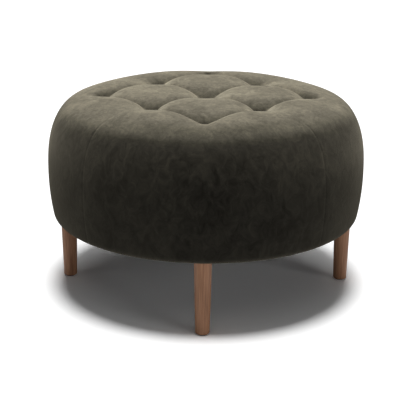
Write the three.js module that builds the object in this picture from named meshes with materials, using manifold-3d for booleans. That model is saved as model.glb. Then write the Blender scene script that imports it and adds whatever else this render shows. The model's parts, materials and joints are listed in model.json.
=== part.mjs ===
// A round tufted footstool on four turned legs, in millimetres, +Z up.
// The origin is on the floor, under the middle of the stool. The front leg stands towards -Y.
import * as THREE from "three";
import { mergeVertices } from "three/addons/utils/BufferGeometryUtils.js";
import Module from "manifold-3d";

// Clearances
const clearance = 0.3; // between neighbours that don't share a flat face
const overrun = 1; // how far a cutting tool runs past the face it cuts

// Upholstered drum, measured on the outside of its cover
const bodyRadius = 330; // at the widest place
const lowerHeight = 102.5; // from the underside up to the widest place
const upperHeight = 157; // from the widest place up to the shoulder's top
const crownRise = 8; // how far the seat's middle is domed above the shoulder's top
const lowerTuck = 8.2; // how far the side has drawn in where the rounding under it starts
const lowerEdgeRadius = 15; // rounding between the side and the underside
const shoulderPlanPower = 7; // superellipse power along the radius
const shoulderRisePower = 2.6; // superellipse power along the height

// Tufting: three rows of three, set square to the diagonals between the legs
const tuftSpacing = 154;
const tuftDepth = 36; // below the crown
const tuftReach = 32; // from the button's seat out to where the dip ends
const tuftSeat = 12.5; // half width of the flat that the button sits on
const seamDepth = 8; // valley halfway between two tufts
const seamReach = 34; // from the valley's line out to the pillow
const pillowEdge = 36; // from a line of tufts to where the pillows and the border level out

// Soft layers
const coverThickness = 2;
const battingThickness = 7.5;
const foamHoleRadius = 5;
const tuftHoleRadius = 2.6; // through the cover and the batting
const hemOverlap = 10; // how far the dust cover laps the cover's hem
const dustCoverThickness = 1;
const dustCoverSetback = 3; // from the legs

// Wooden frame
const boardMargin = 1.8; // from the boards' edge to the start of the cover's rounding
const baseBoardThickness = 18;
const topBoardThickness = 15;
const bandThickness = 2.5;
const bandLift = 4; // the band starts this far above the base board's underside
const tieHoleRadius = 4;
const postWidth = 40;
const postHeight = 112;
const postSetback = 15; // from the boards' edge
const postCount = 8;

// Legs and their fittings
const legCount = 4;
const legLength = 150;
const legTopRadius = 17.6;
const legFootRadius = 14.2;
const legFootChamfer = 2;
const legTopChamfer = 0.8;
const legSides = 24;
const glideRadius = 11;
const glideThickness = 2.2;
const glideChamfer = 1;
const spikeRadius = 1.3;
const spikeLength = 12;
const spikeTip = 3;
const boltRadius = 4;
const boltUpperLength = 20; // the part that screws into the tee nut
const woodThreadRadius = 3.5;
const woodThreadLength = 24;
const boltTip = 5;
const teeFlangeRadius = 10;
const teeFlangeThickness = 1.5;
const teeFlangeMargin = 2; // from the board's edge
const teeBarrelWall = 1.2;
const teeBarrelLength = 12;
const prongCount = 4;
const prongThickness = 1.2;
const prongWidth = 3;
const prongLength = 7;
const prongCircle = 8; // radius that the prongs' middles stand on
const fittingSides = 12;

// Buttons, twine and washers
const buttonRadius = 11;
const buttonRise = 5.5;
const buttonEdge = 2; // height of the rim
const shankRadius = 1.8;
const shankLength = 4;
const twineRadius = 1.2;
const knotRadius = 4;
const knotHeight = 5;
const knotShoulder = 1.5;
const washerRadius = 10;
const washerThickness = 1.5;
const twineSides = 6;

// Levels above the floor
const footLevel = glideThickness + clearance;
const undersideLevel = footLevel + legLength;
const widestLevel = undersideLevel + lowerHeight;
const baseBoardLevel = undersideLevel + coverThickness + clearance;
const postLevel = baseBoardLevel + baseBoardThickness;
const topBoardLevel = postLevel + postHeight;
const seatLevel = topBoardLevel + topBoardThickness;
const seatFoamLevel = seatLevel + clearance;

// Radii that follow from the sizes above
const edgeCentreRadius = bodyRadius - lowerTuck - lowerEdgeRadius;
const boardRadius = edgeCentreRadius - boardMargin;
const bandInnerRadius = boardRadius + clearance;
const bandOuterRadius = bandInnerRadius + bandThickness;
const legCircle = boardRadius - teeFlangeMargin - teeFlangeRadius;
const dustCoverRadius = legCircle - legTopRadius - dustCoverSetback;
const hemRadius = dustCoverRadius - hemOverlap;
const postCircle = boardRadius - postSetback - postWidth / 2;

// Depth of each soft layer's faces under the outside of the cover
const battingDepth = coverThickness + clearance;
const foamDepth = battingDepth + battingThickness + clearance;

// Heights of the shoulder's rings, as shares of upperHeight
const shoulderShares = [0.78, 0.58, 0.32, 0];
const rimShare = 0.5; // from the outermost tufts' seats to bodyRadius, where the first round ring lies
const bridgeShare = 0.25; // how round the ring between the tufts' square and the first round ring is

const fullTurn = 2 * Math.PI;
const mix = (a, b, share) => a + (b - a) * share;
const fade = (share) => (1 - THREE.MathUtils.clamp(share, 0, 1)) ** 2;

const wasm = await Module();
wasm.setup();

// A closed geometry as a solid, with its shared corners merged.
function solidOf(geometry) {
  const bare = geometry.clone();
  bare.deleteAttribute("normal");
  bare.deleteAttribute("uv");
  const merged = mergeVertices(bare);
  const vertProperties = merged.attributes.position.array;
  const triVerts = new Uint32Array(merged.index.array);
  return new wasm.Manifold(new wasm.Mesh({ numProp: 3, vertProperties, triVerts }));
}

function geometryOf(solid) {
  const { vertProperties, triVerts } = solid.getMesh();
  const geometry = new THREE.BufferGeometry();
  geometry.setAttribute("position", new THREE.BufferAttribute(vertProperties, 3));
  geometry.setIndex(new THREE.BufferAttribute(triVerts, 1));
  geometry.computeVertexNormals();
  return geometry;
}

// Twice the area that a profile encloses with the axis, positive when it runs anticlockwise.
function profileTurn(profile) {
  return profile.reduce((sum, [r, z], i) => {
    const [nextR, nextZ] = profile[(i + 1) % profile.length];
    return sum + r * nextZ - nextR * z;
  }, 0);
}

// A profile of [radius, height] pairs turned round the Z axis.
function turned(profile, sides) {
  const ordered = profileTurn(profile) > 0 ? profile : [...profile].reverse();
  const points = ordered.map(([r, z]) => new THREE.Vector2(r, z));
  return new THREE.LatheGeometry(points, sides).rotateX(Math.PI / 2);
}

// A ring of rectangular section turned round the Z axis.
function ring(innerRadius, outerRadius, low, high, sides) {
  const corner = [innerRadius, low];
  return turned([corner, [outerRadius, low], [outerRadius, high], [innerRadius, high], corner], sides);
}

function disc(radius, low, high, sides) {
  return turned([[0, low], [radius, low], [radius, high], [0, high]], sides);
}

// A box from one level to another, centred on a point of the plan.
function block(x, y, width, depth, low, high) {
  const box = new THREE.BoxGeometry(width, depth, 1).translate(x, y, 0);
  const position = box.attributes.position;
  for (let i = 0; i < position.count; i += 1) {
    position.setZ(i, position.getZ(i) < 0 ? low : high);
  }
  return box;
}

function cutHoles(geometry, holes) {
  return geometryOf(holes.reduce((solid, hole) => solid.subtract(solidOf(hole)), solidOf(geometry)));
}

// Tufts by name, with their columns and rows as shares of tuftSpacing
const tuftPlaceShares = {
  centre: [0, 0],
  front_left: [-1, 0],
  back_left: [0, 1],
  back_right: [1, 0],
  front_right: [0, -1],
  left: [-1, 1],
  back: [1, 1],
  right: [1, -1],
  front: [-1, -1],
};

// Turns a point of the tufts' own square grid into the plan, whose axes run to the legs.
function toPlan([u, v]) {
  return [(u - v) * Math.SQRT1_2, (u + v) * Math.SQRT1_2];
}

function toGrid([x, y]) {
  return [(x + y) * Math.SQRT1_2, (y - x) * Math.SQRT1_2];
}

const tufts = Object.entries(tuftPlaceShares).map(([name, [column, row]]) => {
  const [x, y] = toPlan([column * tuftSpacing, row * tuftSpacing]);
  return { name, x, y };
});

// Height of the untufted crown over a radius.
function crownAt(radius) {
  const share = Math.min(radius / bodyRadius, 1);
  const shoulder = (1 - share ** shoulderPlanPower) ** (1 / shoulderRisePower);
  return widestLevel + upperHeight * shoulder + crownRise * (1 - share ** 2);
}

// The square's line nearest to a coordinate, from the row before the middle to the row after it.
function nearestRow(coordinate) {
  return THREE.MathUtils.clamp(Math.round(coordinate / tuftSpacing), -1, 1) * tuftSpacing;
}

// Distance from a point of the grid to the nearest line that joins two tufts.
function seamDistance(u, v) {
  const beyondU = Math.max(Math.abs(u) - tuftSpacing, 0);
  const beyondV = Math.max(Math.abs(v) - tuftSpacing, 0);
  const acrossU = Math.hypot(u - nearestRow(u), beyondV);
  const acrossV = Math.hypot(v - nearestRow(v), beyondU);
  return Math.min(acrossU, acrossV);
}

const seatReach = tuftSeat * Math.SQRT2;

// Height of the tufted top over a point of the plan.
function topAt(x, y) {
  const [u, v] = toGrid([x, y]);
  const [nearU, nearV] = [nearestRow(u), nearestRow(v)];
  const tuftShare = fade((Math.hypot(u - nearU, v - nearV) - seatReach) / tuftReach);
  const crown = mix(crownAt(Math.hypot(x, y)), crownAt(Math.hypot(nearU, nearV)), tuftShare);
  const seam = seamDepth * fade(seamDistance(u, v) / seamReach) * (1 - tuftShare);
  return crown - tuftDepth * tuftShare - seam;
}

// Moves a point of the outline inwards, square to the outline.
function inset([r, z], [normalR, normalZ], depth) {
  const length = Math.hypot(normalR, normalZ);
  return [r - (normalR / length) * depth, z - (normalZ / length) * depth];
}

// A point on the shoulder at a share of upperHeight, a depth under the cover's outside.
function shoulderPoint(share, depth) {
  const radiusShare = (1 - share ** shoulderRisePower) ** (1 / shoulderPlanPower);
  const radius = bodyRadius * radiusShare;
  const normal = [
    (shoulderPlanPower / bodyRadius) * radiusShare ** (shoulderPlanPower - 1),
    (shoulderRisePower / upperHeight) * share ** (shoulderRisePower - 1),
  ];
  return inset([radius, crownAt(radius)], normal, depth);
}

// A point on the rounding between the side and the underside, an angle below the horizontal.
function lowerEdgePoint(angle, depth) {
  const radius = lowerEdgeRadius - depth;
  const centreLevel = undersideLevel + lowerEdgeRadius;
  return [edgeCentreRadius + radius * Math.cos(angle), centreLevel - radius * Math.sin(angle)];
}

const rimRadius = mix((tuftSpacing + tuftSeat) * Math.SQRT2, bodyRadius, rimShare);
const rimFlatShare = (rimRadius / bodyRadius) ** shoulderPlanPower;
const rimHeightShare = (1 - rimFlatShare) ** (1 / shoulderRisePower);

// The round part of a layer's outline, from the rim down to the underside.
function outline(depth) {
  return [
    ...[rimHeightShare, ...shoulderShares].map((share) => shoulderPoint(share, depth)),
    ...[0, Math.PI / 4, Math.PI / 2].map((angle) => lowerEdgePoint(angle, depth)),
  ];
}

// The part of an outline above a level, or below it, ending on the level.
function outlinePart(points, level, above) {
  const next = points.findIndex(([, z]) => z < level);
  const [r0, z0] = points[next - 1];
  const [r1, z1] = points[next];
  const cut = [mix(r0, r1, (z0 - level) / (z0 - z1)), level];
  return above ? [...points.slice(0, next), cut] : [cut, ...points.slice(next)];
}

// Lines of the tufts' square grid, closer together near the tufts
const cellLines = [0, tuftSeat, pillowEdge, tuftSpacing - pillowEdge, tuftSpacing - tuftSeat];
const gridLines = [...cellLines.map((line) => line - tuftSpacing), ...cellLines, tuftSpacing];
const gridCount = gridLines.length;
const cellCount = cellLines.length;
const sectors = 4 * (gridCount - 1); // flats round every large round piece

// The square's outer points in order round it, each with its outward direction.
function squareLoop() {
  const last = gridCount - 1;
  const steps = Array.from({ length: last }, (_, k) => k);
  const places = [
    ...steps.map((k) => [last, k]),
    ...steps.map((k) => [last - k, last]),
    ...steps.map((k) => [0, last - k]),
    ...steps.map((k) => [k, 0]),
  ];
  const outward = (i) => Number(i === last) - Number(i === 0);
  return places.map(([i, j]) => ({ i, j, outwardU: outward(i), outwardV: outward(j) }));
}

const loop = squareLoop();

// The plan of a ring round the tufts: the square grown by a distance, drawn towards a circle.
function bridgeRing(growth, radius, roundShare) {
  return loop.map(({ i, j, outwardU, outwardV }, k) => {
    const [x, y] = toPlan([gridLines[i] + outwardU * growth, gridLines[j] + outwardV * growth]);
    const angle = (k / sectors) * fullTurn;
    return [
      mix(x, radius * Math.cos(angle), roundShare),
      mix(y, radius * Math.sin(angle), roundShare),
    ];
  });
}

// One face of a soft layer: its corners and triangles, with the loop of its lowest ring.
// The top lies a depth under the cover's outside, and the rest follows the outline given.
function quiltFace(depth, outlinePoints) {
  const corners = [];
  const triangles = [];
  const addTop = ([x, y]) => corners.push(x, y, topAt(x, y) - depth) / 3 - 1;
  const grid = gridLines.map((u) => gridLines.map((v) => addTop(toPlan([u, v]))));
  for (let i = 0; i + 1 < gridCount; i += 1) {
    for (let j = 0; j + 1 < gridCount; j += 1) {
      const [a, b, c, d] = [grid[i][j], grid[i + 1][j], grid[i + 1][j + 1], grid[i][j + 1]];
      const nearLow = i % cellCount < cellCount / 2 === j % cellCount < cellCount / 2;
      triangles.push(...(nearLow ? [a, b, c, a, c, d] : [a, b, d, b, c, d]));
    }
  }
  const rings = [
    loop.map(({ i, j }) => grid[i][j]),
    bridgeRing(tuftSeat, 0, 0).map(addTop),
    bridgeRing(pillowEdge, rimRadius, bridgeShare).map(addTop),
    ...outlinePoints.map(([r, z]) =>
      loop.map((_, k) => {
        const angle = (k / sectors) * fullTurn;
        return corners.push(r * Math.cos(angle), r * Math.sin(angle), z) / 3 - 1;
      }),
    ),
  ];
  for (let n = 0; n + 1 < rings.length; n += 1) {
    stitch(triangles, rings[n], rings[n + 1]);
  }
  return { corners, triangles, edge: rings.at(-1) };
}

// Joins two rings of corners with triangles. The outer ring lies to the right of the inner one.
function stitch(triangles, inner, outer) {
  inner.forEach((a, k) => {
    const next = (k + 1) % inner.length;
    triangles.push(a, outer[k], outer[next], a, outer[next], inner[next]);
  });
}

function meshFrom(corners, triangles) {
  const geometry = new THREE.BufferGeometry();
  geometry.setAttribute("position", new THREE.Float32BufferAttribute(corners, 3));
  geometry.setIndex(triangles);
  geometry.computeVertexNormals();
  return geometry;
}

// A soft layer with an outer and an inner face, closed along their lowest rings.
function quiltShell(outer, inner) {
  const shift = outer.corners.length / 3;
  const triangles = [...outer.triangles];
  for (let k = 0; k < inner.triangles.length; k += 3) {
    const [a, b, c] = inner.triangles.slice(k, k + 3);
    triangles.push(a + shift, c + shift, b + shift);
  }
  const innerEdge = inner.edge.map((corner) => corner + shift);
  stitch(triangles, outer.edge, innerEdge);
  return meshFrom([...outer.corners, ...inner.corners], triangles);
}

// A soft block with a quilted top and a flat bottom.
function quiltBlock(face) {
  const corners = [...face.corners];
  const triangles = [...face.triangles];
  const bottomLevel = corners[face.edge[0] * 3 + 2];
  const middle = corners.push(0, 0, bottomLevel) / 3 - 1;
  face.edge.forEach((corner, k) => {
    triangles.push(corner, middle, face.edge[(k + 1) % face.edge.length]);
  });
  return meshFrom(corners, triangles);
}

// A drill at each tuft, between two levels.
function tuftDrills(radius, low, high) {
  return tufts.map(({ x, y }) => disc(radius, low, high, twineSides).translate(x, y, 0));
}

// Copies of some geometries at every leg.
function atLegs(makeGeometries) {
  return Array.from({ length: legCount }, (_, k) =>
    makeGeometries().map((made) => made.translate(legCircle, 0, 0).rotateZ((k / legCount) * fullTurn)),
  ).flat();
}

const crownLevel = crownAt(0);

function velvetCover() {
  const outer = quiltFace(0, [...outline(0), [hemRadius, undersideLevel]]);
  const inner = quiltFace(coverThickness, [
    ...outline(coverThickness),
    [hemRadius, undersideLevel + coverThickness],
  ]);
  const hemTop = undersideLevel + coverThickness + overrun;
  const boltHole = () => disc(boltRadius + clearance, undersideLevel - overrun, hemTop, fittingSides);
  return cutHoles(quiltShell(outer, inner), [
    ...tuftDrills(tuftHoleRadius, seatLevel, crownLevel),
    ...atLegs(() => [boltHole()]),
  ]);
}

function seatBatting() {
  const face = (depth) => quiltFace(depth, outlinePart(outline(depth), seatFoamLevel, true));
  const shell = quiltShell(face(battingDepth), face(battingDepth + battingThickness));
  return cutHoles(shell, tuftDrills(tuftHoleRadius, seatLevel, crownLevel));
}

function seatFoam() {
  const face = quiltFace(foamDepth, outlinePart(outline(foamDepth), seatFoamLevel, true));
  return cutHoles(quiltBlock(face), tuftDrills(foamHoleRadius, seatLevel - overrun, crownLevel));
}

// The foam round the band stops halfway round the cover's lower rounding.
function sideFoam() {
  const outside = outlinePart(outline(battingDepth), seatLevel, false).slice(0, -1);
  const innerRadius = bandOuterRadius + clearance;
  const lowLevel = outside.at(-1)[1];
  return turned(
    [...outside, [innerRadius, lowLevel], [innerRadius, seatLevel], outside[0]],
    sectors,
  );
}

const sideBand = () =>
  ring(bandInnerRadius, bandOuterRadius, baseBoardLevel + bandLift, seatLevel, sectors);

const dustCover = () =>
  disc(dustCoverRadius, undersideLevel - clearance - dustCoverThickness, undersideLevel - clearance, sectors);

// The prongs under a tee nut's flange, up to a level and grown by a margin all round.
function prongs(margin, high) {
  const low = postLevel - prongLength - margin;
  return Array.from({ length: prongCount }, (_, k) =>
    block(prongCircle, 0, prongThickness + 2 * margin, prongWidth + 2 * margin, low, high).rotateZ(
      ((k + 0.5) / prongCount) * fullTurn,
    ),
  );
}

const teeBoreRadius = boltRadius + clearance;
const teeBarrelRadius = teeBoreRadius + teeBarrelWall;

function teeNut() {
  const top = postLevel + teeFlangeThickness;
  const bottom = postLevel - teeBarrelLength;
  const body = turned(
    [
      [teeBoreRadius, bottom],
      [teeBarrelRadius, bottom],
      [teeBarrelRadius, postLevel],
      [teeFlangeRadius, postLevel],
      [teeFlangeRadius, top],
      [teeBoreRadius, top],
      [teeBoreRadius, bottom],
    ],
    fittingSides,
  );
  // The prongs reach up into the flange, so that they join it.
  const rooted = prongs(0, postLevel + teeFlangeThickness / 2);
  return geometryOf(rooted.reduce((solid, prong) => solid.add(solidOf(prong)), solidOf(body)));
}

function baseBoard() {
  const board = disc(boardRadius, baseBoardLevel, postLevel, sectors);
  const low = baseBoardLevel - overrun;
  const high = postLevel + overrun;
  const barrelHole = () => disc(teeBarrelRadius + clearance, low, high, fittingSides);
  return cutHoles(board, atLegs(() => [barrelHole(), ...prongs(clearance, high)]));
}

function topBoard() {
  const board = disc(boardRadius, topBoardLevel, seatLevel, sectors);
  return cutHoles(board, tuftDrills(tieHoleRadius, topBoardLevel - overrun, seatLevel + overrun));
}

const post = () => block(0, 0, postWidth, postWidth, postLevel, topBoardLevel);

function leg() {
  const top = footLevel + legLength;
  const spikeHole = footLevel + spikeLength + spikeTip + clearance;
  const boltHole = top - woodThreadLength - boltTip - clearance;
  return turned(
    [
      [0, spikeHole],
      [spikeRadius + clearance, spikeHole],
      [spikeRadius + clearance, footLevel],
      [legFootRadius - legFootChamfer, footLevel],
      [legFootRadius, footLevel + legFootChamfer],
      [legTopRadius, top - legTopChamfer],
      [legTopRadius - legTopChamfer, top],
      [boltRadius + clearance, top],
      [boltRadius + clearance, boltHole],
      [0, boltHole],
    ],
    legSides,
  );
}

function glide() {
  return turned(
    [
      [0, 0],
      [glideRadius - glideChamfer, 0],
      [glideRadius, glideChamfer],
      [glideRadius, glideThickness],
      [spikeRadius, glideThickness],
      [spikeRadius, glideThickness + spikeLength],
      [0, glideThickness + spikeLength + spikeTip],
    ],
    fittingSides,
  );
}

function hangerBolt() {
  return turned(
    [
      [0, undersideLevel - woodThreadLength - boltTip],
      [woodThreadRadius, undersideLevel - woodThreadLength],
      [woodThreadRadius, undersideLevel],
      [boltRadius, undersideLevel],
      [boltRadius, undersideLevel + boltUpperLength],
      [0, undersideLevel + boltUpperLength],
    ],
    fittingSides,
  );
}

function button(tuft) {
  const seat = topAt(tuft.x, tuft.y) + clearance;
  return turned(
    [
      [0, seat - shankLength],
      [shankRadius, seat - shankLength],
      [shankRadius, seat],
      [buttonRadius, seat],
      [buttonRadius, seat + buttonEdge],
      [buttonRadius / 2, seat + buttonRise],
      [0, seat + buttonRise],
    ],
    fittingSides,
  );
}

// One doubled length of twine, from the button's shank down to a knot under the washer.
function twine(tuft) {
  const top = topAt(tuft.x, tuft.y) + clearance - shankLength - clearance;
  const knotTop = topBoardLevel - washerThickness - clearance;
  return turned(
    [
      [0, knotTop - knotHeight],
      [knotRadius, knotTop - knotHeight + knotShoulder],
      [knotRadius, knotTop - knotShoulder],
      [twineRadius, knotTop],
      [twineRadius, top],
      [0, top],
    ],
    twineSides,
  );
}

const washer = () =>
  ring(twineRadius + clearance, washerRadius, topBoardLevel - washerThickness, topBoardLevel, fittingSides);

const finishes = {
  velvet: { color: "#565248", roughness: 0.95 },
  walnut: { color: "#8a6046", roughness: 0.5 },
  plywood: { color: "#c9a878", roughness: 0.7 },
  softwood: { color: "#d8bd8f", roughness: 0.75 },
  hardboard: { color: "#7d5a3c", roughness: 0.8 },
  foam: { color: "#e6dcb4", roughness: 1 },
  batting: { color: "#f0efeb", roughness: 1 },
  cambric: { color: "#1c1c1d", roughness: 0.95 },
  steel: { color: "#a9abae", roughness: 0.35, metalness: 1 },
  nylon: { color: "#3a2d25", roughness: 0.5 },
  twine: { color: "#cfc6b2", roughness: 0.9 },
};

function piece(name, geometry, finish) {
  const mesh = new THREE.Mesh(geometry, new THREE.MeshStandardMaterial(finishes[finish]));
  mesh.name = name;
  return mesh;
}

const stool = new THREE.Group();
stool.add(
  piece("velvet_cover", velvetCover(), "velvet"),
  piece("seat_batting", seatBatting(), "batting"),
  piece("seat_foam", seatFoam(), "foam"),
  piece("side_foam", sideFoam(), "foam"),
  piece("side_band", sideBand(), "hardboard"),
  piece("top_board", topBoard(), "plywood"),
  piece("base_board", baseBoard(), "plywood"),
  piece("dust_cover", dustCover(), "cambric"),
);

// Posts stand between the legs, so that they clear the tee nuts.
for (let k = 0; k < postCount; k += 1) {
  const spoke = new THREE.Group();
  spoke.rotation.z = ((k + 0.5) / postCount) * fullTurn;
  const upright = piece(`post_${k + 1}`, post(), "softwood");
  upright.position.x = postCircle;
  spoke.add(upright);
  stool.add(spoke);
}

["right", "back", "left", "front"].forEach((place, k) => {
  const corner = new THREE.Group();
  corner.rotation.z = (k / legCount) * fullTurn;
  const fittings = [
    piece(`leg_${place}`, leg(), "walnut"),
    piece(`glide_${place}`, glide(), "nylon"),
    piece(`hanger_bolt_${place}`, hangerBolt(), "steel"),
    piece(`tee_nut_${place}`, teeNut(), "steel"),
  ];
  for (const fitting of fittings) {
    fitting.position.x = legCircle;
    corner.add(fitting);
  }
  stool.add(corner);
});

for (const tuft of tufts) {
  const ties = [
    piece(`button_${tuft.name}`, button(tuft), "velvet"),
    piece(`twine_${tuft.name}`, twine(tuft), "twine"),
    piece(`washer_${tuft.name}`, washer(), "steel"),
  ];
  for (const tie of ties) {
    tie.position.set(tuft.x, tuft.y, 0);
    stool.add(tie);
  }
}

export default stool;
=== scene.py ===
# The looks of a round tufted velvet footstool, in metres, around its solids.
import json
import math

import bpy
import numpy as np
from mathutils import Matrix, Vector


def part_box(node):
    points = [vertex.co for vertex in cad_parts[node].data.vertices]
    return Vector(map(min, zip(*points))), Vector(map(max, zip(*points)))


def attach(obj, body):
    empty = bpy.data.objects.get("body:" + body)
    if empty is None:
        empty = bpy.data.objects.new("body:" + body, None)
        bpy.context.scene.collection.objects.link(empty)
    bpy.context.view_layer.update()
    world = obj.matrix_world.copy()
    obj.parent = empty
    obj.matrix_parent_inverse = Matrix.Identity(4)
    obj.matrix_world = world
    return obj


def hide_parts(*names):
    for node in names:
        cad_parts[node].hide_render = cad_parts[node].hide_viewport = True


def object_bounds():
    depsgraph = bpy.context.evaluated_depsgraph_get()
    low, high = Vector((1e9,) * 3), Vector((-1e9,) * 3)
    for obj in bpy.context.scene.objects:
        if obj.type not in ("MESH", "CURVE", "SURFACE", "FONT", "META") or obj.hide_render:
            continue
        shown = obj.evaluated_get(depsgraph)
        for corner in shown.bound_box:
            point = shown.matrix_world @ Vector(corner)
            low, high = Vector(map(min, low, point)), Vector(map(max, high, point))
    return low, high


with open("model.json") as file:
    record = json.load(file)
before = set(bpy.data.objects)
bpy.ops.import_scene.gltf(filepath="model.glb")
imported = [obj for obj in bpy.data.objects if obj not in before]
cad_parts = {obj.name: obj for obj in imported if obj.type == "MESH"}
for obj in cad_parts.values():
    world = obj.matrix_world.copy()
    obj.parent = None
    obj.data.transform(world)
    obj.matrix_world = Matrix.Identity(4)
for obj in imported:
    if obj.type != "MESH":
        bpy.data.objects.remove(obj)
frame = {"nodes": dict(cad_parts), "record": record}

cad_low, cad_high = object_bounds()

# Camera
photo_width = 400  # pixels
focal_pixels = 1164.4
sensor_width = 36  # millimetres
camera_distance = 2.3547  # from the stool's axis, along the floor
camera_height = 0.9646
camera_aside = 0.0118  # how far the camera stands left of the line through the axis
camera_turn = math.radians(1.05)  # round the stool, from its front leg towards the right leg
camera_pitch = math.radians(18.53)
camera_roll = math.radians(0.4)  # anticlockwise

# Sizes of the upholstery
body_radius = cad_high.x
underside_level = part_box("velvet_cover")[0].z
lower_height = 0.1025  # from the underside up to the widest place
upper_height = 0.157  # from the widest place up to the shoulder's top
widest_level = underside_level + lower_height
crown_rise = 0.004  # how far the seat's middle is domed above the shoulder's top
shoulder_ease = 0.004  # how far the shoulder sinks under its rounding
shoulder_ease_radius = 0.275
shoulder_ease_width = 0.03
shoulder_fullness = 0.0062  # how much higher the shoulder stands at the left and right than in front
shoulder_fullness_radius = 0.29
shoulder_fullness_width = 0.03
shoulder_plan_power = 7
shoulder_rise_power = 2.6
lower_tuck = 0.0082  # how far the side has drawn in where the rounding under it starts
lower_edge_radius = 0.015
lower_edge_start = math.radians(10.5)  # the side's slope where that rounding starts
rim_radius = 0.285  # where the top's grid ends and the round rings begin

# Tufts
tuft_depth = 0.045  # of a dip's walls, which end on the button's back
tuft_seat = 0.0022  # radius from which a dip starts to get shallower
tuft_fall = 0.0145  # distance over which it gets shallower by a factor of e
tuft_blend_share = 1.1  # of tuft_fall: how softly it starts
edge_steepness = 1.1  # of an outer tuft's wall towards the rim, against its wall along the creases
corner_steepness = {"left": 2.2, "back": 4, "right": 2.2, "front": 4}
hollow_depth = 0.009  # of the wide hollow round the middle tuft
hollow_edge_share = 0.38  # of hollow_depth, round the other tufts
hollow_reach = 0.06
hollow_fade_height = upper_height / 2  # above the widest place, over which the hollows end on the side
crease_depth = 0.0064  # of the crease halfway between two tufts
crease_fall = 0.0065
crease_round = 0.0012  # radius of the crease's bottom
pleat_height = 0.0011
pleat_place = 0.017  # distance from a tuft's middle at which its pleats are highest
pleat_width = 0.009
pleat_count = 9  # round a tuft

# Side seams, which run from the outer rows of tufts down the side
seam_count = 4
seam_depth = 0.00032
seam_width = 0.0024
seam_crowding = 0.75  # how much closer than the average the mesh's lines stand at a seam

# Layers under the velvet
cover_thickness = 0.002
layer_gap = 0.0003
lining_gap = 0.001  # between the soft layers, whose meshes are coarser than the velvet's
batting_thickness = 0.0075
batting_depth = cover_thickness + lining_gap  # under the velvet's outside
foam_depth = batting_depth + batting_thickness + lining_gap
hem_radius = 0.2624  # where the velvet ends on the underside
batting_fill = 0.7
foam_fill = 1

# Legs
leg_foot_radius = 0.0142
leg_foot_round = 0.002
leg_top_round = 0.0008
nail_hole_radius = 0.0016
bolt_hole_radius = 0.0043

# Buttons
button_shank_length = 0.004
button_shank_radius = 0.0018
button_rim_height = 0.002
button_back_share = 0.8  # of the button's radius, over which its back is flat
button_tuck_share = 0.95  # of its radius, which it has on its way from the back to the rim
button_tuck_height_share = 0.3  # of the rim's height, at which it has that radius
button_crown_end = math.radians(88)  # where the dome's small flat middle begins

# Dust cover and its staples
dust_cover_turn_in = 0.008
dust_cover_fold_inset = dust_cover_turn_in / 8  # from the folded edge to the middle of its rounding
dust_cover_middle_share = 0.02  # of its radius, for the small face in its middle
dust_cover_ring_shares = np.linspace(0.1, 0.9, 9)  # of its radius, for the rings of its mesh
staple_count = 44
staple_width = 0.011
staple_wire = 0.0006  # thickness
staple_inset = 0.006  # from the dust cover's edge

# Fineness of the meshes
cover_cells = 44  # from one tuft to the next
cover_rings = 88  # from the rim to the hem
cover_inside_rings = 45
lining_cells = 24
lining_rings = 48
seat_foam_rings = 24
side_foam_rings = 30
side_foam_sides = 128
cover_margin_cells = 10  # between the outer tufts and the grid's edge
shoulder_points = 200
side_points = 100
lower_edge_points = 24
slope_step = 0.0005  # over which the seat's slope is measured
button_sides = 40
button_crown_points = 14
leg_sides = 64
leg_foot_points = 6
leg_top_points = 5
dust_cover_sides = 192
dust_cover_fold_points = 7
staple_sides = 6
crisp_angle = math.radians(50)  # between two faces, from which the edge between them looks crisp
leg_crisp_angle = math.radians(30)

# Studio
floor_half = 30  # of its width
floor_reflectance = 0.8
floor_shown_reflectance = 1.3  # as the camera sees it
world_strength = 0.031  # of the even light from all sides
# Lamps: strength, then width across, azimuth and elevation in degrees
lamps = {
    "key": (0.765 * math.pi, 16, 0, 88),
    "back": (0.146 * math.pi, 30, 175, 60),
    "front": (0.049 * math.pi, 40, 0, 60),
    "right": (0.157 * math.pi, 30, 50, 12),
    "left": (0.04 * math.pi, 30, -60, 12),
}

# Velvet: the shader's values, then its own taupe in shades from sideways (0) to upwards facing cloth (0.8)
# and beyond, with painted shade down the side, painted light on the top and painted highlights beyond
velvet_values = {
    "Roughness": 0.9,
    "Specular IOR Level": 0.0,
    "Sheen Weight": 0.2,
    "Sheen Roughness": 0.55,
    "Sheen Tint": (1.0, 0.91, 0.71, 1),
}
painted_shade_range = (0, 1.25)
painted_shades = [
    (0.0, (28, 27, 24)),
    (0.24, (41, 39, 34)),
    (0.4, (45, 43, 38)),
    (0.48, (52, 50, 43)),
    (0.56, (75, 72, 63)),
    (0.64, (97, 93, 81)),
    (0.72, (115, 110, 97)),
    (0.8, (136, 130, 114)),
    (0.84, (160, 153, 135)),
    (0.88, (182, 175, 155)),
]
painted_lean = (-0.08, 0.45, 0)  # how much lighter cloth is painted that faces back and to the left: painted light, and painted shade on cloth facing the other way
painted_side_light = 0.45  # how much lighter cloth is painted that faces left or right: painted light
painted_tuft_light = 0.52  # how much less the painted shade darkens with the slope among the tufts: painted light in the dips
painted_tuft_lean_share = 0.62  # of the painted lean, that the cloth among the tufts shows
painted_tuft_radii = (0.22, 0.255)  # where these start to fade and where they end
rise_range = (0.3, 1)  # of upwards facing, over which the side's look turns into the top's

# How noises are stretched along the axes: not at all, or over the plan alone
plain_stretch = (1, 1, 1)
plan_stretch = (1, 1, 0)

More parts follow.
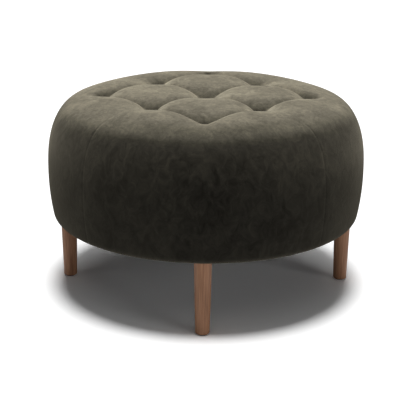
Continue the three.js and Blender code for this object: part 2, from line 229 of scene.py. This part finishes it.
# Brush marks and pile of the velvet: each noise is its scale, detail, roughness and distortion
velvet_stretch = (1, 1, 0.7)
velvet_shift = (6.66, 2.78, 4.14)  # of the brush marks, over the body
patches = (12, 3, 0.55, 0.6)
wisps = (48, 7, 0.7, 1.1)
wisp_share = 0.62  # of the brush marks, against the patches'
wisp_bump = (0.5, 0.0012)  # strength and depth, as of the other bumps
flecks = (130, 6, 0.75, 0.8)
fleck_share = 0.45  # of the top's brush marks
pile = (900, 2, 0.5, 0)
pile_bump = (0.3, 0.0004)
stroke_range = (0.3, 0.7)  # of the marks' noise, from the darkest shift of the painted shade to the lightest
shade_shifts = (-0.024, 0.024)  # by which they move the painted shade, as a random tone
side_strokes = 1.0  # how strongly the brush marks change the side's shades
top_strokes = 0.58
# Factors of the shades, along the noise of the brush marks
stroke_gains = [(0.38, (0.35, 0.35, 0.35)), (0.5, (1, 1, 1)), (0.62, (1.8, 1.77, 1.68))]

# Woods and steel: each grain is its stretch along the axes, then its noise
walnut_values = {"Roughness": 0.45, "Specular IOR Level": 0.3}
walnut_figure = ((1, 1, 0.05), 150, 4, 0.6, 0.5)
walnut_grain = ((1, 1, 0.025), 700, 3, 0.6, 0)
walnut_grain_share = 0.4
walnut_bump = (0.15, 0.0003)
walnut_shades = [(0.36, (126, 89, 65)), (0.5, (152, 110, 82)), (0.64, (174, 129, 98))]
plywood_values = {"Roughness": 0.7, "Specular IOR Level": 0.3}
ply_waves = {"Scale": 110, "Distortion": 0.4, "Detail": 2}
ply_shades = [(0.2, (178, 142, 98)), (0.6, (214, 182, 134))]
veneer_grain = ((1, 0.08, 1), 90, 5, 0.6, 0)
veneer_shades = [(0.3, (206, 172, 124)), (0.7, (228, 200, 154))]
veneer_share = 0.5
veneer_bump = (0.2, 0.0003)
pine_values = {"Roughness": 0.65, "Specular IOR Level": 0.3}
pine_grain = ((1, 1, 0.05), 70, 5, 0.55, 0.8)
pine_shades = [(0.3, (196, 154, 98)), (0.5, (222, 188, 138)), (0.75, (234, 206, 160))]
pine_bump = (0.2, 0.0003)
steel_values = {"Metallic": 1.0}
steel_scratches = ((1, 1, 0.2), 900, 4, 0.6, 0)
steel_shades = [(0.3, (158, 162, 168)), (0.7, (196, 198, 202))]
steel_roughness = [(0.2, (0.28, 0.28, 0.28)), (0.8, (0.45, 0.45, 0.45))]
steel_bump = (0.1, 0.0001)

# Materials with a fine even grain: its scale, its darkest and lightest colours, its depth, and other values
speckled_values = {"Roughness": 0.95, "Specular IOR Level": 0.2}
speckled_noise = (5, 0.65, 0)  # detail, roughness and distortion
speckled_range = (0.3, 0.7)
speckled_strength = 0.4
speckled = {
    "hardboard": (700, (104, 72, 46), (140, 102, 68), 0.0002, {}),
    "foam": (1200, (206, 194, 150), (238, 230, 192), 0.0006, {}),
    "batting": (260, (222, 220, 212), (246, 245, 241), 0.0012, {"Sheen Weight": 0.3}),
    "cambric": (1400, (20, 20, 21), (38, 38, 39), 0.0002, {"Sheen Weight": 0.15}),
    "nylon": (500, (50, 38, 31), (66, 52, 43), 0.0001, {"Roughness": 0.45, "Specular IOR Level": 0.5}),
    "twine": (2200, (178, 168, 146), (222, 214, 194), 0.0003, {}),
}

# Curve from a screen's colours to linear ones: straight up to a knee, then a power
colour_levels = 255
curve_knee = 0.04045
curve_slope = 12.92
curve_offset = 0.055
curve_power = 2.4

tuft_names = [
    "centre",
    "front_left",
    "back_left",
    "back_right",
    "front_right",
    "left",
    "back",
    "right",
    "front",
]
leg_names = ["right", "back", "left", "front"]
eighth_turn_cosine = math.sqrt(0.5)


def middle_of(node):
    """The middle of a solid's box."""
    low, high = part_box(node)
    return (low + high) / 2


tufts = np.array([middle_of(f"button_{name}").xy for name in tuft_names])
tuft_spacing = float(np.hypot(*tufts[tuft_names.index("front_right")]))
button_seats = [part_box(f"button_{name}")[0].z + button_shank_length - layer_gap for name in tuft_names]
rng = np.random.default_rng(7)
pleat_turns = rng.uniform(0, math.tau, len(tufts))


def make_camera():
    """The camera, which looks down at the stool from the front."""
    data = bpy.data.cameras.new("camera")
    data.sensor_width = sensor_width
    data.lens = focal_pixels / photo_width * sensor_width
    camera = bpy.data.objects.new("camera", data)
    place = Vector((-camera_aside, -camera_distance, camera_height))
    turn = Matrix.Rotation(camera_turn, 3, "Z")
    tilt = Matrix.Rotation(math.pi / 2 - camera_pitch, 3, "X")
    camera.location = turn @ place
    camera.rotation_euler = (turn @ tilt @ Matrix.Rotation(camera_roll, 3, "Z")).to_euler()
    bpy.context.scene.collection.objects.link(camera)
    bpy.context.scene.camera = camera


# Meshes
def mesh_object(name, points, faces, sharp_angle=crisp_angle):
    """A smooth shaded object whose edges look crisp from an angle on."""
    mesh = bpy.data.meshes.new(name)
    mesh.from_pydata(np.asarray(points).tolist(), [], faces)
    mesh.shade_smooth()
    mesh.set_sharp_from_angle(angle=sharp_angle)
    made = bpy.data.objects.new(name, mesh)
    bpy.context.scene.collection.objects.link(made)
    return made


def band(inner, outer):
    """Quads between two closed loops of point numbers of the same length."""
    following = np.roll(np.arange(len(inner)), -1)
    quads = np.stack([inner, outer, outer[following], inner[following]], axis=1)
    return quads.tolist()


def turned(profile, sides, centre=(0, 0)):
    """Points and faces of a profile of (radius, height) turned round a vertical axis, closed at both ends."""
    angles = np.arange(sides) / sides * math.tau
    rings = [
        np.stack([r * np.cos(angles) + centre[0], r * np.sin(angles) + centre[1], np.full(sides, z)], axis=1)
        for r, z in profile
    ]
    loops = np.arange(len(profile) * sides).reshape(len(profile), sides)
    faces = [face for lower, upper in zip(loops, loops[1:]) for face in band(upper, lower)]
    return np.concatenate(rings), [*faces, loops[0].tolist()[::-1], loops[-1].tolist()]


def arc(centre, radius, start, end, count):
    """Points of (radius, height) on an arc round a centre, from one angle to another above the horizontal."""
    angles = np.linspace(start, end, count)
    return [(centre[0] + radius * math.cos(a), centre[1] + radius * math.sin(a)) for a in angles]


def evenly_spaced(points, count):
    """The line through some points, cut into stretches of equal length."""
    points = np.asarray(points)
    lengths = np.concatenate([[0], np.cumsum(np.linalg.norm(np.diff(points, axis=0), axis=1))])
    places = np.linspace(0, lengths[-1], count)
    return np.stack([np.interp(places, lengths, points[:, k]) for k in range(2)], axis=1)


# The seat's shape
def crown_at(radius):
    """Height of the untufted seat over a radius."""
    share = np.minimum(radius / body_radius, 1)
    held = 1 - share**shoulder_plan_power
    sag = np.exp(-(((radius - shoulder_ease_radius) / shoulder_ease_width) ** 2))
    level = widest_level + upper_height * held ** (1 / shoulder_rise_power)
    return level + crown_rise * (1 - share**2) - shoulder_ease * sag * held


def crown_steepness(radius):
    """How much more than its thickness a layer measures upwards, on the slope of the untufted seat."""
    slope = (crown_at(radius + slope_step) - crown_at(radius - slope_step)) / (2 * slope_step)
    return np.hypot(1, slope)


def fullness_at(x, y):
    """How far the seat stands above the untufted one near its left and right edges."""
    rim = np.exp(-(((np.hypot(x, y) - shoulder_fullness_radius) / shoulder_fullness_width) ** 2))
    return shoulder_fullness * rim * np.cos(np.arctan2(y, x)) ** 2


def to_grid(x, y):
    """The plan turned by an eighth of a turn, so that the rows of tufts run along its axes."""
    return np.stack([x + y, y - x]) * eighth_turn_cosine


def crease_at(grid):
    """The share of its full depth that the crease along the nearest line between two tufts has."""
    rows = np.clip(np.round(grid / tuft_spacing), -1, 1) * tuft_spacing
    beyond = np.maximum(np.abs(grid) - tuft_spacing, 0)
    distance = np.minimum(np.hypot(grid[0] - rows[0], beyond[1]), np.hypot(grid[1] - rows[1], beyond[0]))
    return np.exp(-(np.hypot(distance, crease_round) - crease_round) / crease_fall)


def seam_at(x, y):
    """The share of its full depth that a side seam's groove has at points of the plan."""
    grid = np.abs(to_grid(x, y))
    beside = np.minimum(*grid)
    started = np.clip((np.maximum(*grid) - tuft_spacing) / tuft_fall - 1, 0, 1)
    return started * np.exp(-((beside / seam_width) ** 2))


def dip_at(reach):
    """The share of its full depth that a tuft's dip has at a distance from its middle."""
    away = (reach - tuft_seat) / tuft_fall
    return np.exp(-(away + np.hypot(away, tuft_blend_share)) / 2)


def pleats_at(x, y, reach, turn):
    """The share of its full height that a pleat has at points seen from a tuft's middle."""
    ring = np.exp(-(((reach - pleat_place) / pleat_width) ** 2))
    return ring * np.abs(np.sin(np.arctan2(y, x) * pleat_count / 2 + turn))


def top_at(x, y):
    """Height of the tufted seat over points of the plan."""
    crown = crown_at(np.hypot(x, y))
    grid = to_grid(x, y)
    held = np.clip(grid, -tuft_spacing, tuft_spacing)
    beyond = np.hypot(*(grid - held))
    level, sunk, hollow, floor, folds = (np.zeros_like(crown) for _ in range(5))
    for name, place, seat, turn in zip(tuft_names, tufts, button_seats, pleat_turns):
        radius = np.hypot(*place)
        along = np.hypot(*(held - to_grid(*place)[:, None]))
        reach = np.hypot(along, beyond * corner_steepness.get(name, edge_steepness))
        dip = dip_at(reach)
        level += dip * (crown_at(radius) - crown)
        sunk += dip
        distance = np.hypot(x - place[0], y - place[1])
        share = hollow_edge_share if radius > tuft_spacing / 2 else 1
        hollow += share * np.exp(-((distance / hollow_reach) ** 2))
        floor = np.where(reach < tuft_fall, seat, floor)
        folds += pleats_at(x - place[0], y - place[1], reach, turn)
    crease = crease_at(grid) * np.clip(1 - sunk, 0, 1)
    height = crown + level - tuft_depth * sunk - hollow_depth * hollow - crease_depth * crease
    height += fullness_at(x, y) + pleat_height * folds - seam_depth * seam_at(x, y)
    return np.maximum(height, floor)


# The side's shape, as outlines of (radius, height)
def shoulder_line():
    """From the rim down to the widest place."""
    rim_share = (1 - (rim_radius / body_radius) ** shoulder_plan_power) ** (1 / shoulder_rise_power)
    shares = np.linspace(rim_share, 0, shoulder_points)
    radii = body_radius * (1 - shares**shoulder_rise_power) ** (1 / shoulder_plan_power)
    return np.stack([radii, crown_at(radii)], axis=1)


def side_line():
    """From below the widest place down to where the rounding starts."""
    drop = lower_height - lower_edge_radius * (1 - math.sin(lower_edge_start))
    power = math.tan(lower_edge_start) * drop / lower_tuck
    down = np.linspace(0, 1, side_points)[1:]
    return np.stack([body_radius - lower_tuck * down**power, widest_level - drop * down], axis=1)


def lower_edge_line():
    """The rounding, down to the underside."""
    across = body_radius - lower_tuck - lower_edge_radius * math.cos(lower_edge_start)
    centre = (across, underside_level + lower_edge_radius)
    return arc(centre, lower_edge_radius, -lower_edge_start, -math.pi / 2, lower_edge_points)[1:]


def side_outline(depth):
    """The outline of a layer from the rim down to the underside, some depth under the velvet's outside."""
    outer = np.concatenate([shoulder_line(), side_line(), lower_edge_line()])
    along = np.gradient(outer, axis=0)
    normals = np.stack([-along[:, 1], along[:, 0]], axis=1)
    normals /= np.linalg.norm(normals, axis=1)[:, None]
    return outer - normals * depth


def above(outline, level):
    """The part of an outline above a level, ending on the level."""
    last = int(np.argmax(outline[:, 1] < level))
    high, low = outline[last - 1], outline[last]
    share = (high[1] - level) / (high[1] - low[1])
    return np.concatenate([outline[:last], [high + (low - high) * share]])


def side_ring(circle, radius, level):
    """A ring of the side, with the grooves of the seams and the ends of the tufts' wide hollows."""
    plan = circle * radius
    share = np.clip((level - widest_level) / hollow_fade_height, 0, 1)
    sunk = (top_at(*plan.T) - crown_at(radius)) * share
    grooved = plan * (1 - seam_depth / body_radius * seam_at(*plan.T))[:, None]
    return np.column_stack([grooved, level + sunk])


# The soft layers
def top_loops(cells, rim):
    """The plan of the top's grid, its edge, the loops from there to the rim's radius, and their angles."""
    count = cells + max(round(cells * cover_margin_cells / cover_cells), 1)
    line = np.arange(-count, count + 1) * tuft_spacing / cells
    u, v = np.meshgrid(line, line, indexing="ij")
    plan = (np.stack([u - v, u + v], axis=2) * eighth_turn_cosine).reshape(-1, 2)
    grid = np.arange(len(line) ** 2).reshape(len(line), -1)
    square = np.concatenate([grid[-1, :-1], grid[::-1, -1][:-1], grid[0, ::-1][:-1], grid[:-1, 0]])
    even = np.arange(len(square)) / len(square) * math.tau
    angles = even + seam_crowding * np.sin(seam_count * even) / seam_count
    circle = rim * np.stack([np.cos(angles), np.sin(angles)], axis=1)
    shares = np.linspace(0, 1, cells // 2 + 1)[1:, None, None]
    loops = plan[square] + (circle - plan[square]) * shares
    return plan, grid, square, loops.reshape(-1, 2), angles


def quilted_face(depth, cells, outline):
    """Points, faces and last loop of one face of a soft layer: its quilted top, then its outline's rings."""
    plan, grid, square, bridge, angles = top_loops(cells, outline[0][0])
    plan = np.concatenate([plan, bridge])
    top = np.column_stack([plan, top_at(*plan.T) - depth * crown_steepness(np.hypot(*plan.T))])
    circle = np.stack([np.cos(angles), np.sin(angles)], axis=1)
    points = np.concatenate([top, *[side_ring(circle, *place) for place in outline[1:]]])
    quads = np.stack([grid[:-1, :-1], grid[1:, :-1], grid[1:, 1:], grid[:-1, 1:]], axis=2)
    loops = [square, *np.arange(grid.size, len(points)).reshape(-1, len(square))]
    faces = quads.reshape(-1, 4).tolist()
    for inner, outer in zip(loops, loops[1:]):
        faces += band(inner, outer)
    return points, faces, loops[-1]


def shell(outer, inner):
    """Joins an outer and an inner face, of the same number of points round, along their last loops."""
    shift = len(outer[0])
    turned_over = [[k + shift for k in face[::-1]] for face in inner[1]]
    edge = band(outer[2], inner[2] + shift)
    return np.concatenate([outer[0], inner[0]]), outer[1] + turned_over + edge


def velvet_cover():
    """The velvet, from the top down the side to its hem on the underside."""
    faces = []
    for depth, rings in ((0, cover_rings), (cover_thickness, cover_inside_rings)):
        outline = np.concatenate([side_outline(depth), [(hem_radius, underside_level + depth)]])
        faces.append(quilted_face(depth, cover_cells, evenly_spaced(outline, rings)))
    return mesh_object("velvet_skin", *shell(*faces))


def seat_batting():
    """The layer of wadding under the velvet's top and shoulder."""
    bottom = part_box("seat_batting")[0].z
    faces = []
    for depth in (batting_depth, batting_depth + batting_thickness):
        outline = evenly_spaced(above(side_outline(depth), bottom), lining_rings)
        faces.append(quilted_face(depth, lining_cells, outline))
    return mesh_object("batting_layer", *shell(*faces))


def seat_foam():
    """The block of foam under the wadding, flat underneath."""
    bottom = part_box("seat_foam")[0].z
    outline = evenly_spaced(above(side_outline(foam_depth), bottom), seat_foam_rings)
    points, faces, edge = quilted_face(foam_depth, lining_cells, outline)
    return mesh_object("foam_seat", points, [*faces, edge.tolist()[::-1]])


def side_foam():
    """The ring of foam between the band and the velvet's side."""
    low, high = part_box("side_foam")
    inner_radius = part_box("side_band")[1].x + layer_gap
    outline = side_outline(batting_depth)
    inside = (outline[:, 1] > low.z) & (outline[:, 1] < high.z)
    outside = evenly_spaced(outline[inside], side_foam_rings)[::-1]
    profile = [(inner_radius, high.z), (inner_radius, low.z), *outside, (outside[-1][0], high.z)]
    points, faces = turned(profile, side_foam_sides)
    loops = np.arange(len(points)).reshape(len(profile), -1)
    return mesh_object("foam_side", points, faces[:-2] + band(loops[0], loops[-1]))


# Dust cover, buttons and legs
def dust_cover():
    """A flat disc of cloth, rounded where its edge is turned in."""
    low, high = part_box("dust_cover")
    radius = high.x
    middle = radius * dust_cover_middle_share
    flat = [*(radius * dust_cover_ring_shares), radius - dust_cover_turn_in]
    fold_centre = (radius - dust_cover_fold_inset, (low.z + high.z) / 2)
    profile = [
        (middle, low.z),
        *[(r, low.z) for r in flat],
        *arc(fold_centre, (high.z - low.z) / 2, -math.pi / 2, math.pi / 2, dust_cover_fold_points),
        *[(r, high.z) for r in flat[-2::-1]],
        (middle, high.z),
    ]
    return mesh_object("dust_cloth", *turned(profile, dust_cover_sides))


def wire(points, radius):
    """Points and faces of a round wire that follows some points."""
    loops, faces = [], []
    angles = np.arange(staple_sides) / staple_sides * math.tau
    ring = [Vector((radius * math.cos(a), radius * math.sin(a), 0)) for a in angles]
    for k, point in enumerate(points):
        along = (points[min(k + 1, len(points) - 1)] - points[max(k - 1, 0)]).normalized()
        turn = along.to_track_quat("Z", "Y")
        loops.append([point + turn @ p for p in ring])
    numbers = np.arange(len(points) * staple_sides).reshape(len(points), -1)
    for first, second in zip(numbers, numbers[1:]):
        faces += band(second, first)
    faces += [numbers[0].tolist()[::-1], numbers[-1].tolist()]
    return [p for loop in loops for p in loop], faces


def staples():
    """Staples round the dust cover's edge, as one piece."""
    low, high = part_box("dust_cover")
    level = low.z - staple_wire / 2
    corners = [(-1, high.z), (-1, level), (1, level), (1, high.z)]
    path = [Vector((high.x - staple_inset, side * staple_width / 2, z)) for side, z in corners]
    points, faces = [], []
    for k in range(staple_count):
        turn = Matrix.Rotation((k + 0.5) / staple_count * math.tau, 3, "Z")
        made = wire([turn @ p for p in path], staple_wire / 2)
        faces += [[number + len(points) for number in face] for face in made[1]]
        points += made[0]
    return mesh_object("dust_cover_staples", points, faces)


def button(name):
    """A covered button, slightly drawn in under its rim, with its shank."""
    low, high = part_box(f"button_{name}")
    radius = (high.x - low.x) / 2
    seat = low.z + button_shank_length
    rim = seat + button_rim_height
    angles = np.linspace(0, button_crown_end, button_crown_points)
    profile = [
        (button_shank_radius, low.z),
        (button_shank_radius, seat),
        (radius * button_back_share, seat),
        (radius * button_tuck_share, seat + button_rim_height * button_tuck_height_share),
        *[(radius * math.cos(a), rim + (high.z - rim) * math.sin(a)) for a in angles],
    ]
    centre = middle_of(f"button_{name}").xy
    return mesh_object(f"button_cap_{name}", *turned(profile, button_sides, centre))


def leg(name):
    """A tapered round leg, with the holes for its bolt and its glide's nail."""
    low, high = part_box(f"leg_{name}")
    top_radius = (high.y - low.y) / 2 if name in ("right", "left") else (high.x - low.x) / 2
    nail_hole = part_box(f"glide_{name}")[1].z + layer_gap
    bolt_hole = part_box(f"hanger_bolt_{name}")[0].z - layer_gap
    foot_centre = (leg_foot_radius - leg_foot_round, low.z + leg_foot_round)
    top_centre = (top_radius - leg_top_round, high.z - leg_top_round)
    profile = [
        (nail_hole_radius, nail_hole),
        (nail_hole_radius, low.z),
        *arc(foot_centre, leg_foot_round, -math.pi / 2, 0, leg_foot_points),
        *arc(top_centre, leg_top_round, 0, math.pi / 2, leg_top_points),
        (bolt_hole_radius, high.z),
        (bolt_hole_radius, bolt_hole),
    ]
    centre = middle_of(f"leg_{name}").xy
    return mesh_object(f"turned_leg_{name}", *turned(profile, leg_sides, centre), leg_crisp_angle)


# Materials
def srgb(colour):
    """A screen's colour as the shader's linear one."""
    shares = [level / colour_levels for level in colour]
    return [
        c / curve_slope if c <= curve_knee else ((c + curve_offset) / (1 + curve_offset)) ** curve_power
        for c in shares
    ]


def new_material(name, values):
    """A material whose shader has some values, each named by its socket."""
    made = bpy.data.materials.new(name)
    made.use_nodes = True
    shader = made.node_tree.nodes["Principled BSDF"]
    for socket, value in values.items():
        shader.inputs[socket].default_value = value
    return made


def add_node(made, kind, links, **settings):
    """A node of a material's tree with its settings, its input values and its links from other sockets."""
    node = made.node_tree.nodes.new(kind)
    for setting, value in settings.items():
        setattr(node, setting, value)
    for socket, value in links.items():
        if isinstance(value, bpy.types.NodeSocket):
            made.node_tree.links.new(value, node.inputs[socket])
        else:
            node.inputs[socket].default_value = value
    return node


def object_points(made, stretch, shift=(0, 0, 0)):
    """Points of the object, stretched by a scale along each axis and then shifted."""
    place = add_node(made, "ShaderNodeTexCoord", {}).outputs["Object"]
    links = {"Vector": place, "Location": shift, "Scale": stretch}
    return add_node(made, "ShaderNodeMapping", links).outputs["Vector"]


def noise_at(made, points, scale, detail, roughness, distortion):
    """A number from 0 to 1 that wanders over some points."""
    links = {
        "Vector": points,
        "Scale": scale,
        "Detail": detail,
        "Roughness": roughness,
        "Distortion": distortion,
    }
    return add_node(made, "ShaderNodeTexNoise", links).outputs["Fac"]


def grain_at(made, stretch, *noise):
    """Noise over the stretched points of the object."""
    return noise_at(made, object_points(made, stretch), *noise)


def ramp(made, factor, stops):
    """Linear colours at places from 0 to 1 along a factor."""
    node = add_node(made, "ShaderNodeValToRGB", {"Fac": factor})
    elements = node.color_ramp.elements
    while len(elements) < len(stops):
        elements.new(stops[0][0])
    for element, (place, colour) in zip(elements, stops):
        element.position = place
        element.color = (*colour, 1)
    return node.outputs["Color"]


def shaded(made, factor, stops):
    """A screen's colours at places from 0 to 1 along a factor."""
    return ramp(made, factor, [(place, srgb(colour)) for place, colour in stops])


def mixed(made, factor, first, second, blend="MIX"):
    """Two colours mixed by a factor."""
    links = {0: factor, 6: first, 7: second}
    return add_node(made, "ShaderNodeMix", links, data_type="RGBA", blend_type=blend).outputs[2]


def number_mixed(made, factor, first, second):
    """Two numbers mixed by a factor."""
    links = {0: factor, 2: first, 3: second}
    return add_node(made, "ShaderNodeMix", links, data_type="FLOAT").outputs[0]


def computed(made, operation, *values):
    """The result of an operation on numbers."""
    return add_node(made, "ShaderNodeMath", dict(enumerate(values)), operation=operation).outputs[0]


def measured(made, operation, *vectors):
    """The number that an operation on vectors gives."""
    node = add_node(made, "ShaderNodeVectorMath", dict(enumerate(vectors)), operation=operation)
    return node.outputs["Value"]


def ranged(made, value, source, target):
    """A number moved from one range to another."""
    links = {
        "Value": value,
        "From Min": source[0],
        "From Max": source[1],
        "To Min": target[0],
        "To Max": target[1],
    }
    return add_node(made, "ShaderNodeMapRange", links).outputs["Result"]


def connect(made, socket, value):
    """Links a socket of a material's shader."""
    made.node_tree.links.new(value, made.node_tree.nodes["Principled BSDF"].inputs[socket])


def set_bump(made, *layers):
    """Bumps of (height, strength, depth in metres), each laid over the one before."""
    normal = None
    for height, strength, depth in layers:
        links = {"Height": height, "Strength": strength, "Distance": depth}
        if normal:
            links["Normal"] = normal
        normal = add_node(made, "ShaderNodeBump", links).outputs["Normal"]
    connect(made, "Normal", normal)


def painted_shade_at(made, normal, aside, upward, marks):
    """Painted light and shade on the velvet, from its slope and the way it faces, moved by its brush marks.
    """
    radius = measured(made, "LENGTH", object_points(made, plan_stretch))
    # Among the tufts the painted shade is lifted and its lean weakened: painted light in the dips
    lean_share = ranged(made, radius, painted_tuft_radii, (painted_tuft_lean_share, 1))
    lift = ranged(made, radius, painted_tuft_radii, (painted_tuft_light, 0))
    # Cloth facing left, right or back gets painted light, cloth facing forwards painted shade
    across = computed(made, "MULTIPLY", aside, aside)
    sides = computed(made, "MULTIPLY_ADD", across, painted_side_light, 1)
    leaning = measured(made, "DOT_PRODUCT", normal, painted_lean)
    lean = computed(made, "MULTIPLY_ADD", leaning, lean_share, sides)
    lifted = number_mixed(made, lift, upward, 1)
    moved = ranged(made, marks, stroke_range, shade_shifts)
    return computed(made, "MULTIPLY_ADD", lifted, lean, moved)


def velvet_material():
    """Brushed velvet: its own taupe with painted light where the cloth faces up and painted shade down the
    side, with brush marks left in it.
    """
    made = new_material("velvet", velvet_values)
    points = object_points(made, velvet_stretch, velvet_shift)
    wisp = noise_at(made, points, *wisps)
    marks = number_mixed(made, wisp_share, noise_at(made, points, *patches), wisp)
    normal = add_node(made, "ShaderNodeNewGeometry", {}).outputs["Normal"]
    aside, _, upward = add_node(made, "ShaderNodeSeparateXYZ", {"Vector": normal}).outputs
    painted_shade = painted_shade_at(made, normal, aside, upward, marks)
    # The base colour is the velvet's own taupe with painted light and shade by the way the cloth faces
    shades = shaded(made, ranged(made, painted_shade, painted_shade_range, (0, 1)), painted_shades)
    fleck = noise_at(made, points, *flecks)
    flecked = number_mixed(made, ranged(made, upward, rise_range, (0, fleck_share)), marks, fleck)
    strength = ranged(made, upward, rise_range, (side_strokes, top_strokes))
    connect(made, "Base Color", mixed(made, strength, shades, ramp(made, flecked, stroke_gains), "MULTIPLY"))
    set_bump(made, (wisp, *wisp_bump), (grain_at(made, plain_stretch, *pile), *pile_bump))
    return made


def walnut_material():
    """Walnut with a fine straight grain along the leg."""
    made = new_material("walnut", walnut_values)
    fine = grain_at(made, *walnut_grain)
    grain = number_mixed(made, walnut_grain_share, grain_at(made, *walnut_figure), fine)
    connect(made, "Base Color", shaded(made, grain, walnut_shades))
    set_bump(made, (fine, *walnut_bump))
    return made


def plywood_material():
    """Birch plywood, whose plies show as stripes on its edges."""
    made = new_material("plywood", plywood_values)
    waves = {"Vector": object_points(made, plain_stretch), **ply_waves}
    plies = add_node(made, "ShaderNodeTexWave", waves, bands_direction="Z").outputs["Fac"]
    grain = grain_at(made, *veneer_grain)
    stripes = shaded(made, plies, ply_shades)
    veneer = shaded(made, grain, veneer_shades)
    connect(made, "Base Color", mixed(made, veneer_share, stripes, veneer))
    set_bump(made, (grain, *veneer_bump))
    return made


def grained_material(name, values, grain, shades, bump):
    """A material whose colour and surface follow one grain."""
    made = new_material(name, values)
    noise = grain_at(made, *grain)
    connect(made, "Base Color", shaded(made, noise, shades))
    set_bump(made, (noise, *bump))
    return made


def speckled_material(name, scale, dark, light, depth, values):
    """A matt material with a fine even grain, such as board, foam, wadding or non-woven cloth."""
    grain = (plain_stretch, scale, *speckled_noise)
    shades = list(zip(speckled_range, (dark, light)))
    return grained_material(name, {**speckled_values, **values}, grain, shades, (speckled_strength, depth))


def steel_material():
    """Zinc plated steel, rougher where it is scratched."""
    made = new_material("steel", steel_values)
    scratches = grain_at(made, *steel_scratches)
    connect(made, "Base Color", shaded(made, scratches, steel_shades))
    connect(made, "Roughness", ramp(made, scratches, steel_roughness))
    set_bump(made, (scratches, *steel_bump))
    return made


def make_materials():
    """The material of each slot."""
    return {
        "velvet": velvet_material(),
        "walnut": walnut_material(),
        "plywood": plywood_material(),
        "softwood": grained_material("pine", pine_values, pine_grain, pine_shades, pine_bump),
        "steel": steel_material(),
        **{name: speckled_material(name, *values) for name, values in speckled.items()},
    }


def assign(piece, made):
    """Makes a material a piece's only one."""
    piece.data.materials.clear()
    piece.data.materials.append(made)


# Studio
def floor_material():
    """White, and brighter for the camera alone, so that the lit floor shows as pure white."""
    made = new_material("floor", {"Roughness": 1.0, "Specular IOR Level": 0.0})
    seen = add_node(made, "ShaderNodeLightPath", {}).outputs["Is Camera Ray"]
    lit, shown = ((level, level, level, 1) for level in (floor_reflectance, floor_shown_reflectance))
    connect(made, "Base Color", mixed(made, seen, lit, shown))
    return made


def make_floor():
    """A wide flat floor."""
    corners = [(x * floor_half, y * floor_half, 0) for x, y in ((-1, -1), (1, -1), (1, 1), (-1, 1))]
    floor = mesh_object("floor", corners, [[0, 1, 2, 3]])
    assign(floor, floor_material())


def make_world():
    """An even pale light, which the camera and reflections see as white."""
    world = bpy.data.worlds.new("studio")
    world.use_nodes = True
    path = add_node(world, "ShaderNodeLightPath", {}).outputs
    either = computed(world, "MAXIMUM", path["Is Camera Ray"], path["Is Glossy Ray"])
    background = world.node_tree.nodes["Background"]
    strength = ranged(world, either, (0, 1), (world_strength, 1))
    world.node_tree.links.new(strength, background.inputs["Strength"])
    background.inputs["Color"].default_value = (1, 1, 1, 1)
    bpy.context.scene.world = world


def make_sun(name, strength, width, azimuth, elevation):
    """A soft distant lamp. Azimuth 0 stands over the front leg and 90 over the right leg, in degrees."""
    data = bpy.data.lights.new(name, "SUN")
    data.energy = strength
    data.angle = math.radians(width)
    lamp = bpy.data.objects.new(name, data)
    lamp.rotation_euler = (math.radians(90 - elevation), 0, math.radians(azimuth))
    bpy.context.scene.collection.objects.link(lamp)


# The pieces, put together
def finish_piece(piece, slot, *replaced, fill=None):
    """Gives a new piece the material of its slot and its body, and hides the nodes that it stands for. The
    fill is not used.
    """
    assign(piece, materials[slot])
    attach(piece, "root")
    if replaced:
        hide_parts(*replaced)
    return piece


def make_seat():
    """The wadding, the foam, and the velvet stretched over them."""
    batting = finish_piece(seat_batting(), "batting", "seat_batting", fill=batting_fill)
    finish_piece(seat_foam(), "foam", "seat_foam", fill=foam_fill)
    side_padding = finish_piece(side_foam(), "foam", "side_foam", fill=foam_fill)
    velvet_skin = finish_piece(velvet_cover(), "velvet", "velvet_cover")


def make_underside():
    """The dust cover and the staples that hold it."""
    dust_cloth = finish_piece(dust_cover(), "cambric", "dust_cover")
    finish_piece(staples(), "steel")


def dress_solids():
    """Gives each solid that shows as it is the material of its slot."""
    for subpart in frame["record"]["subparts"]:
        node = frame["nodes"][subpart["node"]]
        if not node.hide_render:
            assign(node, materials[subpart["material_slot"]])


make_camera()
materials = make_materials()
make_seat()
make_underside()
for name in tuft_names:
    finish_piece(button(name), "velvet", f"button_{name}")
for name in leg_names:
    finish_piece(leg(name), "walnut", f"leg_{name}")
dress_solids()
make_floor()
make_world()
for name, values in lamps.items():
    make_sun(name, *values)

bpy.context.scene.view_settings.view_transform = "Standard"
bpy.context.view_layer.update()
